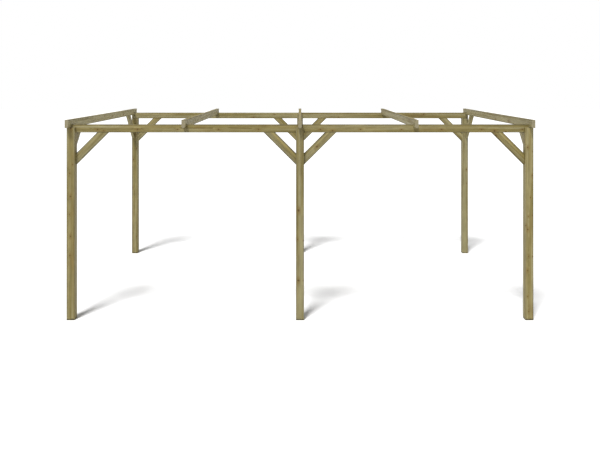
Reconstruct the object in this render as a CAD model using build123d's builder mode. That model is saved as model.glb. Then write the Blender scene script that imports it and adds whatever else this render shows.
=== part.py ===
"""Open timber carport frame: six posts, two beam lines, five rafters and twelve knee braces.

The frame stands on the ground at z = 0, with X along its length, Y across its width
and the origin on the ground under its middle. All sizes are in millimetres.
"""

import os
from math import sqrt

from build123d import *

# Frame, measured over the outside faces of the posts
frame_length = 5820
frame_width = 3400

# Posts
post_size = 100
post_height = 2400
post_edge_radius = 4

# Beams, let into the inner side of the post heads and standing a little above them
beam_depth = 100
beam_thickness = 45
beam_rise = 36
beam_edge_radius = 3
beam_butt_gap = 1

# Rafters, resting on the post heads and notched over the beams
rafter_depth = 100
rafter_thickness = 45
rafter_overhang = 70
rafter_edge_radius = 3
rafter_bay_share = 0.5
notch_clearance = 1

# Knee braces at 45 degrees, the leg taken along the post and along the timber above
brace_width = 100
brace_thickness = 45
brace_leg = 405
brace_edge_radius = 3

# How far a cutting shape runs past the face it cuts
cut_overrun = 10

# Places that follow from the sizes above
half_length = frame_length / 2
half_width = frame_width / 2
post_x = half_length - post_size / 2
post_y = half_width - post_size / 2
inner_y = half_width - post_size
beam_y = inner_y + beam_thickness / 2
beam_top = post_height + beam_rise
beam_seat = beam_top - beam_depth
seat_height = post_height - beam_seat
rafter_length = frame_width + 2 * rafter_overhang
rafter_end_x = half_length - rafter_thickness / 2
rafter_middle_x = rafter_end_x * rafter_bay_share
brace_y = inner_y + brace_thickness / 2
brace_x = half_length - brace_thickness / 2

rows = {"front": -1, "rear": 1}
sides = {"left": -1, "right": 1}


def save(label, timber):
    """Name one timber and write it to its own file."""
    timber.part.label = label
    export_step(timber.part, f"parts/{label}.step")


def make_post(label, x, row):
    """A square post with a rebate across its head, on the inner side, as a seat for the beam."""
    with BuildPart() as post:
        with BuildSketch(Plane.XY):
            with Locations((x, row * post_y)):
                RectangleRounded(post_size, post_size, post_edge_radius)
        extrude(amount=post_height)
        with BuildSketch(Plane.XY.offset(beam_seat)):
            with Locations((x, row * (beam_y - cut_overrun / 2))):
                Rectangle(post_size + 2 * cut_overrun, beam_thickness + cut_overrun)
        extrude(amount=seat_height + cut_overrun, mode=Mode.SUBTRACT)
    save(label, post)


def make_beam(label, side, row):
    """Half a beam line, from the outer face of a corner post to the middle of the centre post."""
    with BuildPart() as beam:
        with BuildSketch(Plane.YZ.offset(side * beam_butt_gap / 2)):
            with Locations((row * beam_y, beam_top - beam_depth / 2)):
                RectangleRounded(beam_thickness, beam_depth, beam_edge_radius)
        extrude(amount=side * (half_length - beam_butt_gap / 2))
    save(label, beam)


def make_rafter(label, x):
    """A rafter across the frame, square at the ends and notched from below over both beams."""
    with BuildPart() as rafter:
        with BuildSketch(Plane.XZ):
            with Locations((x, post_height + rafter_depth / 2)):
                RectangleRounded(rafter_thickness, rafter_depth, rafter_edge_radius)
        extrude(amount=rafter_length / 2, both=True)
        with BuildSketch(Plane.XY.offset(beam_top)):
            with Locations((x, -beam_y), (x, beam_y)):
                Rectangle(rafter_thickness + 2 * cut_overrun, beam_thickness + 2 * notch_clearance)
        extrude(amount=-(beam_rise + cut_overrun), mode=Mode.SUBTRACT)
    save(label, rafter)


def make_brace(label, corner, run, across):
    """A knee brace in the corner between a post face and the underside of a beam or rafter.

    corner is the point where the two faces meet, run points from the post along the
    timber above, and across is the direction of the brace's thickness.
    """
    inset = (brace_leg - brace_width / sqrt(2)) / 2
    middle = corner + run * inset - Vector(0, 0, inset)
    cross_cut = Plane(origin=middle, x_dir=across, z_dir=run + Vector(0, 0, 1))
    with BuildPart() as brace:
        with BuildSketch(cross_cut):
            RectangleRounded(brace_thickness, brace_width, brace_edge_radius)
        extrude(amount=brace_leg, both=True)
        split(bisect_by=Plane(origin=corner, z_dir=run), keep=Keep.TOP)
        split(bisect_by=Plane(origin=corner, z_dir=(0, 0, -1)), keep=Keep.TOP)
    save(label, brace)


os.makedirs("parts", exist_ok=True)

# Three posts to each row
for row_name, row in rows.items():
    make_post(f"{row_name}_left_post", -post_x, row)
    make_post(f"{row_name}_centre_post", 0, row)
    make_post(f"{row_name}_right_post", post_x, row)

# Two lengths to each beam line, meeting over the centre post
for row_name, row in rows.items():
    for side_name, side in sides.items():
        make_beam(f"{row_name}_beam_{side_name}", side, row)

# Rafters from left to right
make_rafter("left_end_rafter", -rafter_end_x)
make_rafter("left_middle_rafter", -rafter_middle_x)
make_rafter("centre_rafter", 0)
make_rafter("right_middle_rafter", rafter_middle_x)
make_rafter("right_end_rafter", rafter_end_x)

# Braces in line with the beams: one from each corner post and two from the centre post
for row_name, row in rows.items():
    for side_name, side in sides.items():
        along = Vector(side, 0, 0)
        corner_post_face = Vector(side * (half_length - post_size), row * brace_y, beam_seat)
        centre_post_face = Vector(side * post_size / 2, row * brace_y, beam_seat)
        make_brace(f"{row_name}_{side_name}_brace", corner_post_face, -along, Vector(0, 1, 0))
        make_brace(f"{row_name}_centre_{side_name}_brace", centre_post_face, along, Vector(0, 1, 0))

# Braces under the end rafters, one from each corner post
for row_name, row in rows.items():
    for side_name, side in sides.items():
        inner_face = Vector(side * brace_x, row * inner_y, post_height)
        make_brace(f"{row_name}_{side_name}_side_brace", inner_face, Vector(0, -row, 0), Vector(1, 0, 0))
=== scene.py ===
"""The looks of an open carport frame of pressure-treated softwood, built round its solids.

The timbers keep their solids and get a finish that follows the log each was sawn from: growth
rings, sapwood, knots, checks and end grain. The screws that hold the frame are added here.
"""

import math
import random

import bmesh
import bpy
from mathutils import Color, Euler, Matrix, Vector


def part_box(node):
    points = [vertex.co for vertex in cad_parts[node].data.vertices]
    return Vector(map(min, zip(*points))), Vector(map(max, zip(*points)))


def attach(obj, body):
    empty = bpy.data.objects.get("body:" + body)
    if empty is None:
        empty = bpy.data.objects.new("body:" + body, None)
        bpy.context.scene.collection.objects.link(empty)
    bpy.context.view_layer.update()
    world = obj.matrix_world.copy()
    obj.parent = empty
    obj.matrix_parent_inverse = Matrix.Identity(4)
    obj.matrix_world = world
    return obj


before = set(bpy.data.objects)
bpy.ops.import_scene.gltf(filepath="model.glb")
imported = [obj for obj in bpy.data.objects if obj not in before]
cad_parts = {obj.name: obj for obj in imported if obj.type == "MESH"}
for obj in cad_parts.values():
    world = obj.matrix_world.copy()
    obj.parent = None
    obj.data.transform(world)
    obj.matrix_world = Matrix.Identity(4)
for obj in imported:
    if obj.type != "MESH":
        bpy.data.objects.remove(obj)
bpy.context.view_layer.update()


# Posts
# Six square posts of pressure-treated softwood, sawn round the heart of a small log, planed with
# eased edges and cut square at both ends. They stand on their bare end grain, and each head is
# rebated on its inner side as a seat for the beam.


def screen_color(red, green, blue):
    """A colour as a screen shows it, in the shader's own linear values."""
    linear = Color((red / 255, green / 255, blue / 255)).from_srgb_to_scene_linear()
    return (*linear, 1.0)


def feed(tree, value, socket):
    """Links a socket, or sets a plain value."""
    if isinstance(value, bpy.types.NodeSocket):
        tree.links.new(value, socket)
    else:
        socket.default_value = value


def calc(tree, operation, *values):
    """One sum on numbers."""
    node = tree.nodes.new("ShaderNodeMath")
    node.operation = operation
    for socket, value in zip(node.inputs, values):
        feed(tree, value, socket)
    return node.outputs[0]


def calc_vector(tree, operation, *values):
    """One sum on vectors."""
    node = tree.nodes.new("ShaderNodeVectorMath")
    node.operation = operation
    for socket, value in zip(node.inputs, values):
        feed(tree, value, socket)
    gives_number = operation in ("LENGTH", "DOT_PRODUCT")
    return node.outputs["Value" if gives_number else "Vector"]


def split(tree, vector):
    """The X, Y and Z of a vector."""
    node = tree.nodes.new("ShaderNodeSeparateXYZ")
    feed(tree, vector, node.inputs[0])
    return node.outputs


def scaled(tree, value, by, plus=0.0):
    """A number times one amount, plus another."""
    return calc(tree, "MULTIPLY_ADD", value, by, plus)


def fade(tree, value, start, end):
    """Rises smoothly from 0 at start to 1 at end."""
    node = tree.nodes.new("ShaderNodeMapRange")
    node.interpolation_type = "SMOOTHSTEP"
    feed(tree, value, node.inputs["Value"])
    node.inputs["From Min"].default_value = start
    node.inputs["From Max"].default_value = end
    return node.outputs["Result"]


def streaks(tree, place, across, along, detail=2.0):
    """Noise drawn out along the grain, with so many waves to the metre across it and along it."""
    stretched = calc_vector(tree, "MULTIPLY", place, (across, across, along))
    node = tree.nodes.new("ShaderNodeTexNoise")
    node.inputs["Scale"].default_value = 1.0
    node.inputs["Detail"].default_value = detail
    feed(tree, stretched, node.inputs["Vector"])
    return node.outputs["Fac"]


def sway(tree, noise, reach):
    """Noise as a swing to both sides of 0, so far in all."""
    return scaled(tree, noise, by=reach, plus=-reach / 2)


def stain(tree, amount, under, over, share=1.0):
    """Lays one colour over another, by a share of an amount from 0 to 1."""
    node = tree.nodes.new("ShaderNodeMix")
    node.data_type = "RGBA"
    feed(tree, calc(tree, "MULTIPLY", amount, share), node.inputs["Factor"])
    feed(tree, under, node.inputs["A"])
    feed(tree, over, node.inputs["B"])
    return node.outputs["Result"]


def shade_by(tree, color, amount):
    """Makes a colour lighter or darker by a number that is 1 for no change."""
    node = tree.nodes.new("ShaderNodeVectorMath")
    node.operation = "SCALE"
    feed(tree, color, node.inputs[0])
    feed(tree, amount, node.inputs["Scale"])
    return node.outputs["Vector"]


def new_group(name, takes, gives):
    """A shader node group with its sockets, and its input and output nodes."""
    group = bpy.data.node_groups.new(name, "ShaderNodeTree")
    for socket, kind in takes.items():
        group.interface.new_socket(socket, in_out="INPUT", socket_type="NodeSocket" + kind)
    for socket, kind in gives.items():
        group.interface.new_socket(socket, in_out="OUTPUT", socket_type="NodeSocket" + kind)
    return group, group.nodes.new("NodeGroupInput").outputs, group.nodes.new("NodeGroupOutput").inputs


# A knot is a branch that grew straight out from the heart of the log. The group gives how far a point
# is from the nearest branch, in branch radii, and the same for the long eye that the grain makes round
# it. Each knot passes on the nearer of its own value and the last one's.
EYE_DRAWN_OUT = (1.0, 1.0, 0.36)
knot_group, given, result = new_group(
    "branch_knot",
    {
        "From Heart": "Vector",
        "Root": "Vector",
        "Branch": "Vector",
        "Radius": "Float",
        "Last Knot": "Float",
        "Last Eye": "Float",
    },
    {"Knot": "Float", "Eye": "Float"},
)
from_root = calc_vector(knot_group, "SUBTRACT", given["From Heart"], given["Root"])
along_branch = calc_vector(knot_group, "DOT_PRODUCT", from_root, given["Branch"])
on_branch = shade_by(knot_group, given["Branch"], calc(knot_group, "MAXIMUM", along_branch, 0.0))
off_branch = calc_vector(knot_group, "SUBTRACT", from_root, on_branch)
off_eye = calc_vector(knot_group, "MULTIPLY", off_branch, EYE_DRAWN_OUT)
for name, offset in (("Knot", off_branch), ("Eye", off_eye)):
    in_radii = calc(knot_group, "DIVIDE", calc_vector(knot_group, "LENGTH", offset), given["Radius"])
    feed(knot_group, calc(knot_group, "MINIMUM", in_radii, given["Last " + name]), result[name])

# The wood itself. Growth rings are cylinders round the heart, so every face of a timber shows the
# figure that a saw would find there: arches on the flat faces, lines on the others, arcs at the ends.
EARLY_WOOD = screen_color(143, 130, 81)
LATE_WOOD = screen_color(110, 94, 45)
PALE_CAST = screen_color(167, 160, 122)
GREEN_CAST = screen_color(112, 102, 50)
BROWN_CAST = screen_color(120, 97, 46)
wood_group, given, result = new_group(
    "treated_softwood",
    {
        "From Heart": "Vector",
        "Heart": "Vector",
        "Half Section": "Vector",
        "Facing": "Vector",
        "Upward": "Float",
        "Knot": "Float",
        "Eye": "Float",
        "Timber": "Float",
        "Tone": "Float",
        "Paleness": "Float",
        "Sap Side": "Vector",
        "Sapwood": "Float",
        "Edge Side": "Vector",
        "Edge": "Float",
        "Foot": "Float",
    },
    {"Color": "Color", "Roughness": "Float", "Height": "Float"},
)
STEP_TO_NEXT_TIMBER = (3.7, 5.3, 7.9)
own_step = shade_by(wood_group, STEP_TO_NEXT_TIMBER, given["Timber"])
own_place = calc_vector(wood_group, "ADD", given["From Heart"], own_step)
from_middle = calc_vector(wood_group, "ADD", given["From Heart"], given["Heart"])

# Rings wander a little along the log, and swell round each knot
RING_SPACING = 0.0033
RING_BOW = 0.028
RING_RIPPLE = 0.003
RING_SWELL = 0.026
SWELL_FALLOFF = 0.75
ACROSS_GRAIN = (1.0, 1.0, 0.0)
bow = sway(wood_group, streaks(wood_group, own_place, across=5.0, along=0.7), RING_BOW)
ripple = sway(wood_group, streaks(wood_group, own_place, across=34.0, along=3.0), RING_RIPPLE)
near_knot = calc(wood_group, "EXPONENT", scaled(wood_group, given["Eye"], by=-SWELL_FALLOFF))
off_heart = calc_vector(wood_group, "MULTIPLY", given["From Heart"], ACROSS_GRAIN)
heart_distance = calc_vector(wood_group, "LENGTH", off_heart)
radius = calc(wood_group, "ADD", heart_distance, bow)
radius = calc(wood_group, "ADD", radius, ripple)
radius = scaled(wood_group, near_knot, by=RING_SWELL, plus=radius)
ring = calc(wood_group, "DIVIDE", radius, RING_SPACING)
ring_part = calc(wood_group, "FRACT", ring)
year_node = wood_group.nodes.new("ShaderNodeTexWhiteNoise")
year_node.noise_dimensions = "1D"
ring_year = calc(wood_group, "ADD", calc(wood_group, "FLOOR", ring), given["Timber"])
feed(wood_group, ring_year, year_node.inputs["W"])
year_strength = scaled(wood_group, year_node.outputs["Value"], by=0.55, plus=0.45)
late_rise = fade(wood_group, ring_part, start=0.40, end=0.93)
late_stop = fade(wood_group, ring_part, start=1.0, end=0.94)
late = calc(wood_group, "MULTIPLY", calc(wood_group, "MULTIPLY", late_rise, late_stop), year_strength)

# Fibres and threads, and the soft lengthwise bands and patches that sap and treatment leave
fibre = streaks(wood_group, own_place, across=620.0, along=9.0, detail=3.0)
line = streaks(wood_group, own_place, across=280.0, along=1.8)
thread = streaks(wood_group, own_place, across=130.0, along=2.0, detail=3.0)
band = streaks(wood_group, own_place, across=27.0, along=0.7, detail=3.0)
patch = streaks(wood_group, own_place, across=13.0, along=2.2, detail=3.0)
mottle = streaks(wood_group, own_place, across=24.0, along=9.0)
fine_line = fade(wood_group, line, start=0.52, end=0.70)
pale_band = fade(wood_group, scaled(wood_group, given["Paleness"], by=0.22, plus=band), start=0.50, end=0.72)
green_band = fade(wood_group, band, start=0.50, end=0.32)
brown_patch = fade(wood_group, patch, start=0.54, end=0.72)
color = stain(wood_group, late, EARLY_WOOD, LATE_WOOD, share=0.90)
color = stain(wood_group, green_band, color, GREEN_CAST, share=0.60)
color = stain(wood_group, brown_patch, color, BROWN_CAST, share=0.55)
color = stain(wood_group, pale_band, color, PALE_CAST, share=0.62)
color = stain(wood_group, fine_line, color, LATE_WOOD, share=0.38)
fibre_shade = scaled(wood_group, fibre, by=0.44, plus=0.78)
thread_shade = scaled(wood_group, thread, by=0.60, plus=0.70)
mottle_shade = scaled(wood_group, mottle, by=0.46, plus=0.67)
color = shade_by(wood_group, color, calc(wood_group, "MULTIPLY", fibre_shade, thread_shade))
color = shade_by(wood_group, color, mottle_shade)

# A board from the outside of the log has a pale band of sapwood towards one edge
SAP_BAND_MIDDLE = 0.44
toward_sap = calc_vector(wood_group, "DOT_PRODUCT", from_middle, given["Sap Side"])
off_band = calc(wood_group, "ABSOLUTE", calc(wood_group, "SUBTRACT", toward_sap, SAP_BAND_MIDDLE))
in_band = fade(wood_group, off_band, start=0.40, end=0.05)
color = shade_by(wood_group, color, scaled(wood_group, in_band, by=given["Sapwood"], plus=1.0))

# Knots: a long warm eye in the grain, a rim of bark, and a brown core with rings
KNOT_WOOD = screen_color(99, 76, 34)
KNOT_RIM = screen_color(64, 49, 20)
KNOT_RINGS = 24.0
knot_noise = streaks(wood_group, own_place, across=95.0, along=60.0)
knot = calc(wood_group, "MULTIPLY", given["Knot"], scaled(wood_group, knot_noise, by=0.70, plus=0.65))
halo = fade(wood_group, given["Eye"], start=3.4, end=0.9)
rim = fade(wood_group, knot, start=1.30, end=1.02)
core = fade(wood_group, knot, start=1.0, end=0.78)
core_ring = calc(wood_group, "SINE", scaled(wood_group, knot, by=KNOT_RINGS))
core_color = stain(wood_group, scaled(wood_group, core_ring, by=0.2, plus=0.75), KNOT_RIM, KNOT_WOOD)
color = stain(wood_group, halo, color, BROWN_CAST, share=0.62)
color = stain(wood_group, rim, color, KNOT_RIM, share=0.80)
color = stain(wood_group, core, color, core_color)

# Checks: hairline splits on planes through the heart, that open along the grain as the timber dries
# Their dark colour is painted shade inside the split
CHECK_PAINTED_SHADE = screen_color(50, 42, 24)
CHECK_PLANES = 36
SECTOR_MIDDLE = 0.5
CHECK_WANDER = 0.6
CHECK_HALF_WIDTH = 0.0007
CHECK_SOFT_EDGE = 0.0003
at = split(wood_group, given["From Heart"])
turned = calc(wood_group, "ARCTAN2", at["Y"], at["X"])
turned = scaled(wood_group, turned, by=CHECK_PLANES / math.tau, plus=given["Timber"])
wander = sway(wood_group, streaks(wood_group, own_place, across=2.0, along=2.4), CHECK_WANDER)
turned = calc(wood_group, "ADD", turned, wander)
off_plane = calc(wood_group, "SUBTRACT", calc(wood_group, "FRACT", turned), SECTOR_MIDDLE)
plane_gap = scaled(wood_group, heart_distance, by=math.tau / CHECK_PLANES)
off_plane = calc(wood_group, "MULTIPLY", calc(wood_group, "ABSOLUTE", off_plane), plane_gap)
plane_place = wood_group.nodes.new("ShaderNodeCombineXYZ")
feed(wood_group, calc(wood_group, "FLOOR", turned), plane_place.inputs["X"])
feed(wood_group, given["Timber"], plane_place.inputs["Y"])
feed(wood_group, at["Z"], plane_place.inputs["Z"])
plane_noise = streaks(wood_group, plane_place.outputs["Vector"], across=3.1, along=1.7, detail=1.0)
opened = fade(wood_group, plane_noise, start=0.55, end=0.68)
inside = calc(wood_group, "SUBTRACT", scaled(wood_group, opened, by=CHECK_HALF_WIDTH), off_plane)
check = fade(wood_group, inside, start=0.0, end=CHECK_SOFT_EDGE)
# Painted shade down each split
color = stain(wood_group, check, color, CHECK_PAINTED_SHADE, share=0.8)

# Sawn ends are paler between the rings, dull and rough
PALE_END = screen_color(156, 148, 122)
LATE_END = screen_color(120, 108, 80)
facing = split(wood_group, given["Facing"])
end_grain = fade(wood_group, calc(wood_group, "ABSOLUTE", facing["Z"]), start=0.45, end=0.65)
end_color = stain(wood_group, late, PALE_END, LATE_END, share=0.8)
color = stain(wood_group, end_grain, color, end_color, share=0.85)

# Tops are dulled and greyed by rain and dust, and their colour is also darkened as painted shade
TOP_GREY_AND_SHADE = screen_color(122, 109, 75)
facing_up = fade(wood_group, given["Upward"], start=0.60, end=0.95)
top_patchy = scaled(wood_group, band, by=0.6, plus=0.25)
# Weathering and painted shade on faces that point up, in patches along the grain
color = stain(wood_group, calc(wood_group, "MULTIPLY", facing_up, top_patchy), color, TOP_GREY_AND_SHADE)

# Painted shade: long edges darker along the arrises, and a post's foot darker where it meets the floor
EDGE_AND_FOOT_SHADE = screen_color(56, 50, 26)
EDGE_WIDTH = 0.0105
EDGE_WANDER = 0.008
EDGE_SETBACK = 0.001
FOOT_SHADE_CLIMB = 0.052
FOOT_SHADE_FADE = 0.022
in_section = calc_vector(wood_group, "ABSOLUTE", from_middle)
to_side = split(wood_group, calc_vector(wood_group, "SUBTRACT", given["Half Section"], in_section))
edge_noise = streaks(wood_group, own_place, across=60.0, along=14.0)
edge_reach = scaled(wood_group, edge_noise, by=EDGE_WANDER, plus=-EDGE_SETBACK)
to_edge = calc(wood_group, "MAXIMUM", to_side["X"], to_side["Y"])
edge = fade(wood_group, calc(wood_group, "SUBTRACT", to_edge, edge_reach), start=EDGE_WIDTH, end=0.0)
edge_patchy = fade(wood_group, streaks(wood_group, own_place, across=9.0, along=3.2), start=0.36, end=0.58)
edge_patchy = scaled(wood_group, edge_patchy, by=0.55, plus=0.45)
toward_side = calc_vector(wood_group, "DOT_PRODUCT", from_middle, given["Edge Side"])
for strength in (edge_patchy, given["Edge"], calc(wood_group, "ADD", toward_side, 1.0)):
    edge = calc(wood_group, "MULTIPLY", edge, strength)
# The foot's painted shade climbs raggedly up the grain from the lower end
from_foot = split(wood_group, calc_vector(wood_group, "ADD", given["Half Section"], from_middle))
foot_shade_noise = streaks(wood_group, own_place, across=75.0, along=4.0, detail=3.0)
above_foot_shade = calc(wood_group, "SUBTRACT", from_foot["Z"], scaled(wood_group, foot_shade_noise, by=FOOT_SHADE_CLIMB))
foot_shade = calc(wood_group, "MULTIPLY", fade(wood_group, above_foot_shade, start=0.0, end=-FOOT_SHADE_FADE), given["Foot"])
# Painted shade on the long edges and at the foot
color = stain(wood_group, calc(wood_group, "MAXIMUM", edge, foot_shade), color, EDGE_AND_FOOT_SHADE)

# Each timber has its own tone, which its end grain doesn't share
tone_change = calc(wood_group, "SUBTRACT", 1.0, given["Tone"])
tone = calc(wood_group, "MULTIPLY_ADD", tone_change, end_grain, given["Tone"])
feed(wood_group, shade_by(wood_group, color, tone), result["Color"])

rough = scaled(wood_group, fibre, by=0.16, plus=0.50)
rough = scaled(wood_group, late, by=-0.05, plus=rough)
rough = scaled(wood_group, calc(wood_group, "MAXIMUM", end_grain, facing_up), by=0.28, plus=rough)
feed(wood_group, rough, result["Roughness"])

height = scaled(wood_group, late, by=0.30, plus=scaled(wood_group, fibre, by=0.45))
height = scaled(wood_group, core, by=0.35, plus=height)
height = scaled(wood_group, check, by=-1.6, plus=height)
feed(wood_group, height, result["Height"])

# Where knots lie by chance, in shares of their spacing, and how large they are
FIRST_KNOT = (0.2, 0.9)
NEXT_KNOT = (0.55, 1.45)
KNOT_RADII = (0.005, 0.010)
KNOT_RISE = 0.25
FAR_AWAY = 60.0


def knots_by_chance(number, half_section, spacing):
    """Knots as whorls of branches leave them: about so far apart along the timber, on any side."""
    chance = random.Random(number)
    knots = []
    along = -half_section.z + spacing * chance.uniform(*FIRST_KNOT)
    while along < half_section.z:
        angle = chance.uniform(0.0, math.tau)
        side = Vector((math.cos(angle), math.sin(angle), 0.0)) * half_section.xy.length
        knots.append((side + Vector((0.0, 0.0, along)), chance.uniform(*KNOT_RADII)))
        along += spacing * chance.uniform(*NEXT_KNOT)
    return knots


def give_timber_finish(
    node, number, centre, turn, half_section, heart, knots, tone, paleness,
    sap_side=(0.0, 0.0, 0.0), sapwood=0.0, edge=0.80, edge_side=(0.0, 0.0, 0.0), foot=0.0,
):
    """Gives one timber its own cut from a log: where the heart ran, where branches stood, how dark it is.

    turn is the timber's angle, with its own Z along the grain. heart is where the middle of the log
    lies in the section. Knots are points on the surface, in the timber's own frame, with their radii.
    sap_side points to the side of the section where a band of sapwood shows, and is as long as one over
    its half width, and sapwood is how much paler the band is. edge and foot are how dark the long edges
    and the lower end are, and edge_side points to the side of the section with the darker edges.
    """
    material = bpy.data.materials.new(node + "_softwood")
    material.use_nodes = True
    tree = material.node_tree
    place = tree.nodes.new("ShaderNodeTexCoord")
    from_heart = tree.nodes.new("ShaderNodeMapping")
    from_heart.vector_type = "TEXTURE"
    from_heart.inputs["Location"].default_value = centre + turn.to_matrix() @ heart
    from_heart.inputs["Rotation"].default_value = turn
    feed(tree, place.outputs["Object"], from_heart.inputs["Vector"])
    facing_in_timber = tree.nodes.new("ShaderNodeMapping")
    facing_in_timber.vector_type = "VECTOR"
    facing_in_timber.inputs["Rotation"].default_value = [-angle for angle in turn]
    feed(tree, place.outputs["Normal"], facing_in_timber.inputs["Vector"])

    nearest_knot = FAR_AWAY
    nearest_eye = FAR_AWAY
    for point, knot_radius in knots:
        outward = (point - heart) * Vector(ACROSS_GRAIN)
        rise = KNOT_RISE * outward.length
        knot = tree.nodes.new("ShaderNodeGroup")
        knot.node_tree = knot_group
        feed(tree, from_heart.outputs["Vector"], knot.inputs["From Heart"])
        knot.inputs["Root"].default_value = (0.0, 0.0, point.z - rise)
        knot.inputs["Branch"].default_value = (outward + Vector((0.0, 0.0, rise))).normalized()
        knot.inputs["Radius"].default_value = knot_radius
        feed(tree, nearest_knot, knot.inputs["Last Knot"])
        feed(tree, nearest_eye, knot.inputs["Last Eye"])
        nearest_knot = knot.outputs["Knot"]
        nearest_eye = knot.outputs["Eye"]

    wood = tree.nodes.new("ShaderNodeGroup")
    wood.node_tree = wood_group
    feed(tree, from_heart.outputs["Vector"], wood.inputs["From Heart"])
    wood.inputs["Heart"].default_value = heart
    wood.inputs["Half Section"].default_value = half_section
    feed(tree, facing_in_timber.outputs["Vector"], wood.inputs["Facing"])
    feed(tree, split(tree, place.outputs["Normal"])["Z"], wood.inputs["Upward"])
    feed(tree, nearest_knot, wood.inputs["Knot"])
    feed(tree, nearest_eye, wood.inputs["Eye"])
    wood.inputs["Timber"].default_value = number
    wood.inputs["Tone"].default_value = tone
    wood.inputs["Paleness"].default_value = paleness
    wood.inputs["Sap Side"].default_value = sap_side
    wood.inputs["Sapwood"].default_value = sapwood
    wood.inputs["Edge Side"].default_value = edge_side
    wood.inputs["Edge"].default_value = edge
    wood.inputs["Foot"].default_value = foot

    relief = tree.nodes.new("ShaderNodeBump")
    relief.inputs["Strength"].default_value = 0.55
    relief.inputs["Distance"].default_value = 0.0009
    feed(tree, wood.outputs["Height"], relief.inputs["Height"])
    surface = tree.nodes["Principled BSDF"]
    surface.inputs["Specular IOR Level"].default_value = 0.35
    feed(tree, wood.outputs["Color"], surface.inputs["Base Color"])
    feed(tree, wood.outputs["Roughness"], surface.inputs["Roughness"])
    feed(tree, relief.outputs["Normal"], surface.inputs["Normal"])
    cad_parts[node].data.materials.clear()
    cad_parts[node].data.materials.append(material)


def timber_box(node):
    """The middle of a timber and its half sizes along X, Y and Z."""
    low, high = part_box(node)
    return (low + high) / 2, (high - low) / 2


# Each timber has a number of its own, which sets its chances and shifts its grain
FIRST_POST = 1
UPRIGHT = Euler((0.0, 0.0, 0.0))
POST_KNOT_SPACING = 0.55
POST_HEART_BACK = (0.0, 0.03)
HEART_ASIDE = (-0.02, 0.02)
# How dark the painted shade on a post's long edges and foot is, and how far it leans to the outer edges
POST_EDGE = 0.52
POST_EDGE_LEAN = 0.75
POST_FOOT_SHADE = 0.95
rows = {"front": -1, "rear": 1}
ways_out = {"left": -1, "centre": 0, "right": 1}

# Knots that show on the faces towards the front: how far right of the post's middle, how high, and
# the radius
post_face_knots = {
    "front_left_post": [
        (0.004, 2.394, 0.0085), (0.025, 1.941, 0.0045), (-0.010, 1.829, 0.0052), (0.000, 1.542, 0.0086),
        (-0.010, 1.318, 0.0047), (0.000, 1.044, 0.0074), (-0.008, 0.807, 0.0062),
    ],
    "front_centre_post": [
        (-0.019, 1.368, 0.0106), (-0.031, 1.007, 0.0055), (0.040, 0.994, 0.0032), (-0.019, 0.496, 0.0097),
        (0.040, 0.496, 0.0036),
    ],
    "front_right_post": [
        (-0.022, 2.153, 0.0066), (0.037, 2.103, 0.0028), (0.037, 1.804, 0.0060), (0.012, 1.530, 0.0050),
        (0.037, 1.306, 0.0040), (-0.012, 1.293, 0.0044), (-0.045, 1.181, 0.0055), (-0.022, 1.131, 0.0083),
        (-0.012, 0.795, 0.0050), (0.037, 0.795, 0.0033), (-0.022, 0.620, 0.0068), (-0.022, 0.296, 0.0050),
        (-0.010, 0.109, 0.0056),
    ],
    "rear_left_post": [
        (0.029, 1.814, 0.0060), (-0.023, 1.624, 0.0075), (-0.038, 1.139, 0.0080), (0.029, 0.291, 0.0044),
    ],
    "rear_right_post": [(0.023, 1.451, 0.0075), (0.023, 1.209, 0.0050)],
}
post_places = [(row, place) for row in rows for place in ways_out]
post_tones = (1.05, 0.98, 1.15, 0.99, 1.0, 0.97)
post_paleness = (0.05, 0.60, 0.42, 0.22, 0.25, 0.98)
post_looks = zip(post_places, post_tones, post_paleness)
for number, ((row, place), tone, paleness) in enumerate(post_looks, FIRST_POST):
    post = f"{row}_{place}_post"
    centre, half = timber_box(post)
    chance = random.Random(number)
    heart = Vector((chance.uniform(*HEART_ASIDE), chance.uniform(*POST_HEART_BACK), 0.0))
    knots = knots_by_chance(number, half, POST_KNOT_SPACING)
    if post in post_face_knots:
        knots = [(point, size) for point, size in knots if point.y > 0.0]
        for right, high, size in post_face_knots[post]:
            knots.append((Vector((right, -half.y, high - centre.z)), size))
    outer_edges = Vector((POST_EDGE_LEAN * ways_out[place] / half.x, 0.0, 0.0))
    give_timber_finish(
        post, number, centre, UPRIGHT, half, heart, knots, tone, paleness,
        edge=POST_EDGE, edge_side=outer_edges, foot=POST_FOOT_SHADE,
    )


# Beams
# Two lines of planed board on edge, each in two lengths that butt together over the centre post.
# They sit in the rebates of the post heads, flush with the posts' inner faces.
FIRST_BEAM = 11
ALONG_X = Euler((0.0, math.radians(90.0), 0.0))
BOARD_KNOT_SPACING = 0.6
BOARD_HEART_OFF = (0.045, 0.08)

# Knots that show on the faces towards the front: where along X, how far below the middle of the
# board, and the radius
beam_face_knots = {
    "front_beam_left": [
        (-2.540, 0.012, 0.0082), (-2.460, 0.028, 0.0055), (-2.038, 0.012, 0.0082), (-1.537, 0.012, 0.0055),
        (-1.022, 0.012, 0.0062), (-0.521, 0.012, 0.0064),
    ],
    "front_beam_right": [
        (0.257, 0.012, 0.0072), (0.408, 0.027, 0.0074), (0.759, 0.012, 0.0062), (1.273, 0.012, 0.0058),
        (1.775, 0.012, 0.0064), (2.277, 0.012, 0.0068), (2.440, 0.029, 0.0102), (2.577, 0.037, 0.0045),
        (2.788, 0.010, 0.0064),
    ],
    "rear_beam_left": [(-1.688, 0.000, 0.0065), (-0.805, 0.033, 0.0085), (-0.442, -0.017, 0.0055)],
    "rear_beam_right": [(0.667, 0.033, 0.0052), (1.775, 0.033, 0.0070), (2.138, -0.017, 0.0072)],
}
beam_tones = (1.03, 1.04, 0.93, 0.96)
beam_paleness = (0.0, 0.15, 0.60, 0.34)
beam_sapwood = (0.15, 0.0, 0.24, 0.0)
beam_looks = zip(beam_face_knots.items(), beam_tones, beam_paleness, beam_sapwood)
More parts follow.
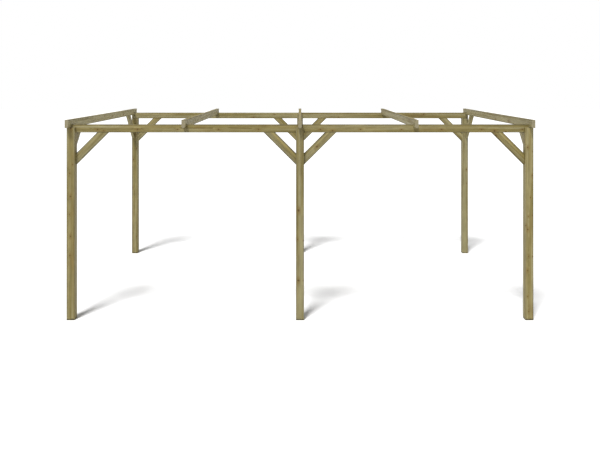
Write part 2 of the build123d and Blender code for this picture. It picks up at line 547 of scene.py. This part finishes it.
for number, ((beam, face_knots), tone, paleness, sapwood) in enumerate(beam_looks, FIRST_BEAM):
    centre, half = timber_box(beam)
    half_section = Vector((half.z, half.y, half.x))
    chance = random.Random(number)
    heart = Vector((chance.uniform(*HEART_ASIDE), chance.uniform(*BOARD_HEART_OFF), 0.0))
    knots = [(Vector((below, -half.y, x - centre.x)), size) for x, below, size in face_knots]
    upper_edge = Vector((-1.0 / half_section.x, 0.0, 0.0))
    give_timber_finish(
        beam, number, centre, ALONG_X, half_section, heart, knots, tone, paleness,
        sap_side=upper_edge, sapwood=sapwood,
    )


# Rafters
# Five planed boards on edge across the frame, square at the ends. They rest on the post heads and
# are notched from below over both beams.
FIRST_RAFTER = 21
ALONG_Y = Euler((math.radians(-90.0), 0.0, 0.0))
RIGHT_END_KNOT_RADIUS = 0.013
right_end_knot = Vector((2.865, -0.835, 2.432))
rafters = [f"{place}_rafter" for place in ("left_end", "left_middle", "centre", "right_middle", "right_end")]
# The left end rafter is lighter, partly painted light for its seen side that faces away from the key
rafter_tones = (1.32, 1.10, 1.10, 1.08, 1.09)
rafter_paleness = (1.0, 0.72, 0.72, 0.72, 0.72)
rafter_looks = zip(rafters, rafter_tones, rafter_paleness)
for number, (rafter, tone, paleness) in enumerate(rafter_looks, FIRST_RAFTER):
    centre, half = timber_box(rafter)
    half_section = Vector((half.x, half.z, half.y))
    chance = random.Random(number)
    heart_off = chance.choice((-1, 1)) * chance.uniform(*BOARD_HEART_OFF)
    heart = Vector((heart_off, chance.uniform(*HEART_ASIDE), 0.0))
    knots = knots_by_chance(number, half_section, BOARD_KNOT_SPACING)
    if rafter == "right_end_rafter":
        knots.append((ALONG_Y.to_matrix().inverted() @ (right_end_knot - centre), RIGHT_END_KNOT_RADIUS))
    give_timber_finish(rafter, number, centre, ALONG_Y, half_section, heart, knots, tone, paleness)


# Knee braces
# Twelve short boards at 45 degrees, mitred at both ends: eight in line with the beams, and four from
# the corner posts to the end rafters. Each stiffens the corner that it spans.
FIRST_BRACE = 31
BRACE_WIDTH = 0.100
BRACE_ANGLE = math.radians(45.0)
BRACE_KNOT_SPACING = 0.45
BRACE_PALENESS = 0.25
PALE_BRACE = 0.62
BRACE_SAPWOOD = 0.26
beam_braces = {"left": 1, "centre_left": -1, "centre_right": 1, "right": -1}
pale_braces = (
    "front_left_brace", "front_centre_right_brace", "rear_left_side_brace", "rear_right_side_brace",
)
sappy_braces = {"front_centre_left_brace": 0.78, "front_right_brace": 0.58}
brace_tones = {
    "front_left_brace": 0.90,
    "front_centre_left_brace": 0.82,
    "front_centre_right_brace": 0.95,
    "front_right_brace": 0.94,
    "front_left_side_brace": 1.04,
    "front_right_side_brace": 0.97,
    "rear_left_brace": 1.01,
    "rear_centre_left_brace": 1.02,
    "rear_centre_right_brace": 0.97,
    "rear_right_brace": 0.95,
    "rear_left_side_brace": 1.20,
    "rear_right_side_brace": 1.30,
}

# Knots that show on the front faces: where along X, how high, and the radius
brace_face_knots = {
    "front_left_brace": [],
    "front_centre_left_brace": [],
    "front_centre_right_brace": [(0.213, 2.158, 0.0085)],
    "front_right_brace": [(2.457, 2.300, 0.0085)],
}
number = FIRST_BRACE
for row, row_side in rows.items():
    for place, lean in beam_braces.items():
        brace = f"{row}_{place}_brace"
        middle_of_edge, half = timber_box(brace)
        turn = Euler((0.0, lean * BRACE_ANGLE, 0.0))
        across = turn.to_matrix() @ Vector((1.0, 0.0, 0.0))
        centre = middle_of_edge - across * lean * BRACE_WIDTH / 2
        half_section = Vector((BRACE_WIDTH / 2, half.y, half.x * math.sqrt(2)))
        chance = random.Random(number)
        heart = Vector((chance.uniform(*HEART_ASIDE), chance.uniform(*BOARD_HEART_OFF), 0.0))
        knots = knots_by_chance(number, half_section, BRACE_KNOT_SPACING)
        if brace in brace_face_knots:
            knots = []
            for x, z, size in brace_face_knots[brace]:
                on_face = Vector((x, centre.y - half.y, z))
                knots.append((turn.to_matrix().inverted() @ (on_face - centre), size))
        paleness = PALE_BRACE if brace in pale_braces else BRACE_PALENESS
        upper_edge = Vector((-lean / half_section.x, 0.0, 0.0))
        give_timber_finish(
            brace, number, centre, turn, half_section, heart, knots, brace_tones[brace], paleness,
            sap_side=upper_edge, sapwood=sappy_braces.get(brace, BRACE_SAPWOOD),
        )
        number += 1
    for side in ("left", "right"):
        brace = f"{row}_{side}_side_brace"
        middle_of_edge, half = timber_box(brace)
        turn = Euler((row_side * BRACE_ANGLE, 0.0, 0.0))
        across = turn.to_matrix() @ Vector((0.0, 1.0, 0.0))
        centre = middle_of_edge + across * row_side * BRACE_WIDTH / 2
        half_section = Vector((half.x, BRACE_WIDTH / 2, half.y * math.sqrt(2)))
        chance = random.Random(number)
        heart_off = chance.choice((-1, 1)) * chance.uniform(*BOARD_HEART_OFF)
        heart = Vector((heart_off, chance.uniform(*HEART_ASIDE), 0.0))
        knots = knots_by_chance(number, half_section, BRACE_KNOT_SPACING)
        paleness = PALE_BRACE if brace in pale_braces else BRACE_PALENESS
        give_timber_finish(
            brace, number, centre, turn, half_section, heart, knots, brace_tones[brace], paleness,
        )
        number += 1


# Screws
# Steel timber screws with a six-lobed recess and the olive coat that is made for treated wood. Washer
# heads hold the beams to the posts from the inner side. Countersunk heads lie flush in the rafters'
# tops and in the lower edges of the braces.
HEAD_SEGMENTS = 24
LOBES = 6
LOBE_DEPTH = 0.16
RECESS_SHARE = 0.5
TOP_TOLERANCE = 1e-6
COAT_OLIVE = screen_color(112, 105, 66)
COAT_WORN = screen_color(136, 130, 104)
# The recess is painted dark: painted shade for the depth it lacks, with lighter dusty patches
RECESS_PAINTED_SHADE = screen_color(38, 37, 34)
RECESS_SHADE_AND_DUST = screen_color(74, 68, 54)

# Coated steel goes cloudy where it is handled: from smooth to dull, with bare metal showing through
CLOUD_WAVES = 420.0
metal_group, given, result = new_group(
    "cloudy_metal",
    {
        "Place": "Vector",
        "Under": "Color",
        "Over": "Color",
        "Smooth": "Float",
        "Dull": "Float",
        "Bare": "Float",
    },
    {"Color": "Color", "Roughness": "Float", "Metallic": "Float"},
)
cloud = streaks(metal_group, given["Place"], across=CLOUD_WAVES, along=CLOUD_WAVES, detail=3.0)
handled = fade(metal_group, cloud, start=0.38, end=0.66)
feed(metal_group, stain(metal_group, handled, given["Under"], given["Over"]), result["Color"])
duller = calc(metal_group, "SUBTRACT", given["Dull"], given["Smooth"])
feed(metal_group, scaled(metal_group, handled, by=duller, plus=given["Smooth"]), result["Roughness"])
feed(metal_group, scaled(metal_group, handled, by=given["Bare"]), result["Metallic"])


def screw_metal(name, under, over, smooth, dull, bare):
    """One of the screws' metals, with its colours and roughness below and above the cloudy patches."""
    material = bpy.data.materials.new(name)
    material.use_nodes = True
    tree = material.node_tree
    metal = tree.nodes.new("ShaderNodeGroup")
    metal.node_tree = metal_group
    feed(tree, tree.nodes.new("ShaderNodeTexCoord").outputs["Object"], metal.inputs["Place"])
    metal.inputs["Under"].default_value = under
    metal.inputs["Over"].default_value = over
    metal.inputs["Smooth"].default_value = smooth
    metal.inputs["Dull"].default_value = dull
    metal.inputs["Bare"].default_value = bare
    surface = tree.nodes["Principled BSDF"]
    feed(tree, metal.outputs["Color"], surface.inputs["Base Color"])
    feed(tree, metal.outputs["Roughness"], surface.inputs["Roughness"])
    feed(tree, metal.outputs["Metallic"], surface.inputs["Metallic"])
    return material


coat = screw_metal("screw_coat", COAT_OLIVE, COAT_WORN, smooth=0.34, dull=0.52, bare=0.45)
recess_painted_shade = screw_metal("screw_recess_painted_shade", RECESS_PAINTED_SHADE, RECESS_SHADE_AND_DUST, smooth=0.55, dull=0.75, bare=0.30)


def add_screw_head(shape, place, outward, lower, upper, thickness, rise, recess_depth):
    """Turns one head from a cone, presses the recess into it, and sets it on a face of the timber.

    lower and upper are the head's radii, and rise is how far its top stands above the face.
    """
    first_new = len(shape.verts)
    bmesh.ops.create_cone(
        shape, cap_ends=True, segments=HEAD_SEGMENTS, radius1=lower, radius2=upper, depth=thickness,
    )
    shape.faces.ensure_lookup_table()
    shape.verts.ensure_lookup_table()
    head = shape.verts[first_new:]
    top_height = max(vertex.co.z for vertex in head)
    lowest_top = top_height - TOP_TOLERANCE
    top = next(face for face in head[-1].link_faces if min(v.co.z for v in face.verts) > lowest_top)
    recess_radius = upper * RECESS_SHARE
    bmesh.ops.inset_region(shape, faces=[top], thickness=upper - recess_radius, use_even_offset=True)
    for vertex in top.verts:
        angle = math.atan2(vertex.co.y, vertex.co.x)
        lobed_radius = recess_radius * (1.0 + LOBE_DEPTH * math.cos(LOBES * angle))
        vertex.co.xy = vertex.co.xy.normalized() * lobed_radius
    pressed = bmesh.ops.extrude_discrete_faces(shape, faces=[top])["faces"][0]
    bmesh.ops.translate(shape, verts=pressed.verts, vec=(0.0, 0.0, -recess_depth))
    # The recess floor and walls take the painted shade
    pressed.material_index = 1
    for edge in pressed.edges:
        for wall in edge.link_faces:
            wall.material_index = 1
    shape.verts.ensure_lookup_table()
    turn_out = outward.to_track_quat("Z", "Y").to_matrix().to_4x4()
    set_in = Matrix.Translation((0.0, 0.0, rise - top_height))
    onto_face = Matrix.Translation(place) @ turn_out @ set_in
    bmesh.ops.transform(shape, matrix=onto_face, verts=shape.verts[first_new:])


def fit_screws(name, places, **head):
    """Makes one piece of all the screw heads of a kind."""
    shape = bmesh.new()
    for place, outward in places:
        add_screw_head(shape, place, outward, **head)
    mesh = bpy.data.meshes.new(name)
    shape.to_mesh(mesh)
    shape.free()
    mesh.materials.append(coat)
    mesh.materials.append(recess_painted_shade)
    piece = bpy.data.objects.new(name, mesh)
    bpy.context.scene.collection.objects.link(piece)
    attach(piece, "root")


# The two kinds of head: radii below and above, thickness, how far the top stands out, and the recess
washer_head = {"lower": 0.0090, "upper": 0.0076, "thickness": 0.0040, "rise": 0.0032, "recess_depth": 0.0022}
flush_head = {"lower": 0.0032, "upper": 0.0060, "thickness": 0.0040, "rise": 0.0004, "recess_depth": 0.0003}

# Two through each beam end into its post, one above the other on a slant to spare the grain
BEAM_SCREW_LOW = 0.020
BEAM_SCREW_HIGH = 0.046
BEAM_SCREW_FROM_END = 0.022
BEAM_SCREW_SLANT = 0.030
BUTT_SCREW_SLANT = 0.012
beam_places = []
for row, row_side in rows.items():
    for side in ("left", "right"):
        low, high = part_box(f"{row}_beam_{side}")
        inner_face = high.y if row_side < 0 else low.y
        inward = Vector((0.0, -row_side, 0.0))
        for end, into_beam in ((low.x, 1), (high.x, -1)):
            at_butt = abs(end) < (high.x - low.x) / 2
            nearer = end + into_beam * BEAM_SCREW_FROM_END
            beyond = nearer + into_beam * (BUTT_SCREW_SLANT if at_butt else BEAM_SCREW_SLANT)
            beam_places.append((Vector((nearer, inner_face, low.z + BEAM_SCREW_LOW)), inward))
            beam_places.append((Vector((beyond, inner_face, low.z + BEAM_SCREW_HIGH)), inward))
fit_screws("beam_screws", beam_places, **washer_head)

# One through each rafter into the beam below it, and a second into the post where there is one
POST_SCREW_FROM_BEAM = 0.050
UP = Vector((0.0, 0.0, 1.0))
rafter_places = []
for rafter in rafters:
    low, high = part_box(rafter)
    middle_x = (low.x + high.x) / 2
    for row, row_side in rows.items():
        beam_low, beam_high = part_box(f"{row}_beam_left")
        beam_middle = (beam_low.y + beam_high.y) / 2
        rafter_places.append((Vector((middle_x, beam_middle, high.z)), UP))
        if "middle" not in rafter:
            over_post = beam_middle + row_side * POST_SCREW_FROM_BEAM
            rafter_places.append((Vector((middle_x, over_post, high.z)), UP))
fit_screws("rafter_screws", rafter_places, **flush_head)

# Two at each end of a brace, driven square to its lower edge
BRACE_SCREWS_FROM_TIP = (0.045, 0.085)
brace_places = []


def place_brace_screws(brace, run):
    """run points from the post along the timber that the brace props."""
    low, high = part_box(brace)
    middle = (low + high) / 2
    half_run = abs((high - low).dot(run)) / 2
    lower_tip = middle - run * half_run
    lower_tip.z = low.z
    upper_tip = middle + run * half_run
    upper_tip.z = high.z
    along_edge = (upper_tip - lower_tip).normalized()
    outward = (run - UP).normalized()
    for from_tip in BRACE_SCREWS_FROM_TIP:
        brace_places.append((lower_tip + along_edge * from_tip, outward))
        brace_places.append((upper_tip - along_edge * from_tip, outward))


for row, row_side in rows.items():
    for place, lean in beam_braces.items():
        place_brace_screws(f"{row}_{place}_brace", Vector((lean, 0.0, 0.0)))
    for side in ("left", "right"):
        place_brace_screws(f"{row}_{side}_side_brace", Vector((0.0, -row_side, 0.0)))
fit_screws("brace_screws", brace_places, **flush_head)


# Floor, light and camera
# A plain white floor that keeps the frame's shadow, a white sky, one large soft key light from the
# front left, and a level camera in front of the middle of the long side.
FLOOR_REACH = 60.0
floor_mesh = bpy.data.meshes.new("floor")
shape = bmesh.new()
bmesh.ops.create_grid(shape, x_segments=1, y_segments=1, size=FLOOR_REACH)
shape.to_mesh(floor_mesh)
shape.free()
floor = bpy.data.objects.new("floor", floor_mesh)
bpy.context.scene.collection.objects.link(floor)


def seen_itself(tree):
    """1 for light that goes on to the camera straight, or by way of metal or glass, and 0 for the rest."""
    path = tree.nodes.new("ShaderNodeLightPath")
    mirrored = calc(tree, "MAXIMUM", path.outputs["Is Glossy Ray"], path.outputs["Is Transmission Ray"])
    return calc(tree, "MAXIMUM", path.outputs["Is Camera Ray"], mirrored)


FLOOR_SHOWN = (1.0, 1.0, 1.0, 1.0)
FLOOR_BOUNCE = (0.72, 0.72, 0.72, 1.0)
floor_paint = bpy.data.materials.new("white_floor")
floor_paint.use_nodes = True
floor_tree = floor_paint.node_tree
floor_surface = floor_tree.nodes["Principled BSDF"]
floor_color = stain(floor_tree, seen_itself(floor_tree), FLOOR_BOUNCE, FLOOR_SHOWN)
feed(floor_tree, floor_color, floor_surface.inputs["Base Color"])
floor_surface.inputs["Roughness"].default_value = 1.0
floor_surface.inputs["Specular IOR Level"].default_value = 0.0
floor_mesh.materials.append(floor_paint)

SKY_SHOWN = 1.0
SKY_LIGHT = 0.272
world = bpy.data.worlds.new("white_sky")
world.use_nodes = True
bpy.context.scene.world = world
sky = world.node_tree
sky_shown = sky.nodes["Background"]
sky_shown.inputs["Color"].default_value = (1.0, 1.0, 1.0, 1.0)
sky_strength = scaled(sky, seen_itself(sky), by=SKY_SHOWN - SKY_LIGHT, plus=SKY_LIGHT)
feed(sky, sky_strength, sky_shown.inputs["Strength"])

KEY_TRAVEL = Vector((0.47, 1.157, -2.4))
key_lamp = bpy.data.lights.new("key_light", "SUN")
key_lamp.energy = 3.54
key_lamp.angle = math.radians(13.0)
key = bpy.data.objects.new("key_light", key_lamp)
key.rotation_euler = KEY_TRAVEL.to_track_quat("-Z", "Y").to_euler()
key.location = (-4.0, -8.0, 12.0)
bpy.context.scene.collection.objects.link(key)

PICTURE_WIDTH = 600
FOCAL_PIXELS = 680
HORIZON_ABOVE_MIDDLE_PIXELS = 150.70
CAMERA_BEFORE_FRONT_POSTS = 8.474
CAMERA_HEIGHT = 2.978
camera_data = bpy.data.cameras.new("camera")
camera_data.sensor_width = 36.0
camera_data.lens = FOCAL_PIXELS / PICTURE_WIDTH * camera_data.sensor_width
camera_data.shift_y = -HORIZON_ABOVE_MIDDLE_PIXELS / PICTURE_WIDTH
camera = bpy.data.objects.new("camera", camera_data)
front_of_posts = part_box("front_centre_post")[0].y
camera.location = (0.0, front_of_posts - CAMERA_BEFORE_FRONT_POSTS, CAMERA_HEIGHT)
camera.rotation_euler = (math.radians(90.0), 0.0, 0.0)
bpy.context.scene.collection.objects.link(camera)
bpy.context.scene.camera = camera
bpy.context.scene.view_settings.view_transform = "Standard"
